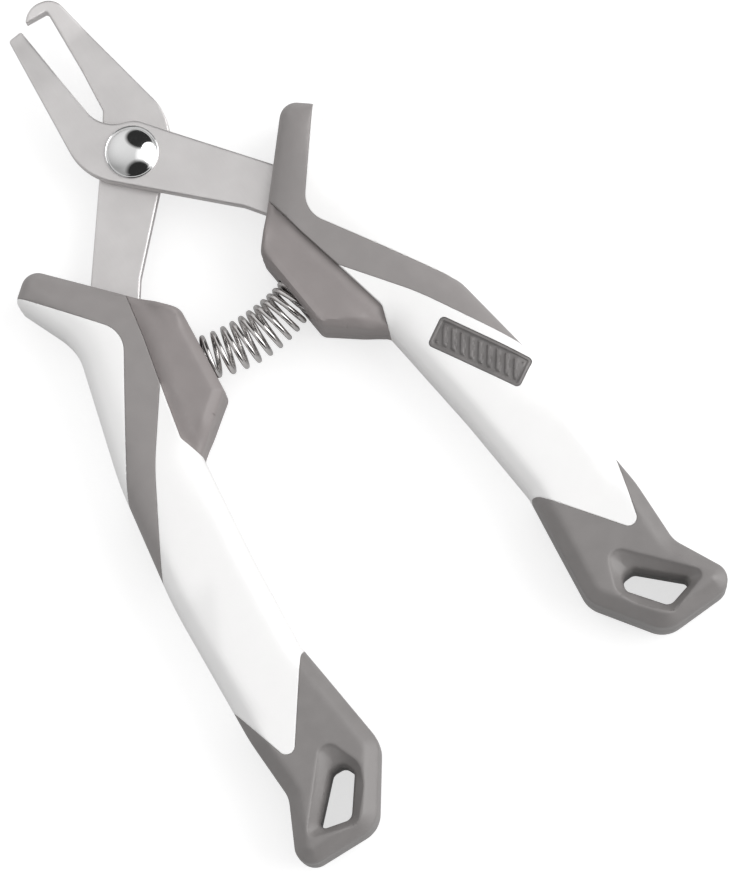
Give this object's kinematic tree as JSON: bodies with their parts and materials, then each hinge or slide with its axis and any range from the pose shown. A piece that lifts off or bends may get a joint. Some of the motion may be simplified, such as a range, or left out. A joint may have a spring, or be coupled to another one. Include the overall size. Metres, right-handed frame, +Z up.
{
  "type": "split ring fishing pliers",
  "caption": "Small spring-loaded fishing pliers: lapped stamped steel levers with a hooked split-ring jaw, a domed rivet pivot and two-tone moulded handles with lanyard loops.",
  "frame": {"origin": "centre of the footprint of the open pliers, on the surface that they lie on; the pivot axis stands at x 0, y +35.7 mm, and the mid-plane of the handles is 5.5 mm up", "axes": "+Z up, out of the face with the rivet's dome; +Y along the tool towards the jaws; +X towards the handle that carries the flat jaw"},
  "size_m": [0.0698, 0.1234, 0.011],
  "materials": {
    "satin_steel": "satin",
    "bright_steel": "polished",
    "spring_wire": "bright drawn wire",
    "grey_nylon": "matte moulded",
    "dark_nylon": "matte moulded",
    "inner_nylon": "matte moulded",
    "white_grip": "semi-matte moulded",
    "badge_plate": "fine textured"
  },
  "bodies": {
    "hook_half": {"hook_jaw_lever": "satin_steel", "pivot_rivet": "bright_steel", "rivet_washer": "satin_steel", "pivot_shim": "bright_steel", "return_spring": "spring_wire", "left_core": "inner_nylon", "left_guard": "grey_nylon", "left_spring_block": "grey_nylon", "left_shoulder_panel": "white_grip", "left_palm_panel": "white_grip", "left_lanyard_loop": "dark_nylon", "left_badge": "badge_plate", "left_spring_peg": "bright_steel"},
    "flat_half": {"flat_jaw_lever": "satin_steel", "right_core": "inner_nylon", "right_guard": "grey_nylon", "right_spring_block": "grey_nylon", "right_shoulder_panel": "white_grip", "right_palm_panel": "white_grip", "right_lanyard_loop": "dark_nylon", "right_badge": "badge_plate", "right_spring_peg": "bright_steel"}
  },
  "joints": [
    {"name": "pivot", "type": "hinge", "parent": "hook_half", "child": "flat_half", "pos_m": [0, 0.03581, 0.0055], "axis": [0, 0, -1], "range_deg": [0, 10.7], "stiffness_Nm_per_rad": 1.2, "deforming": ["return_spring"]}
  ]
}
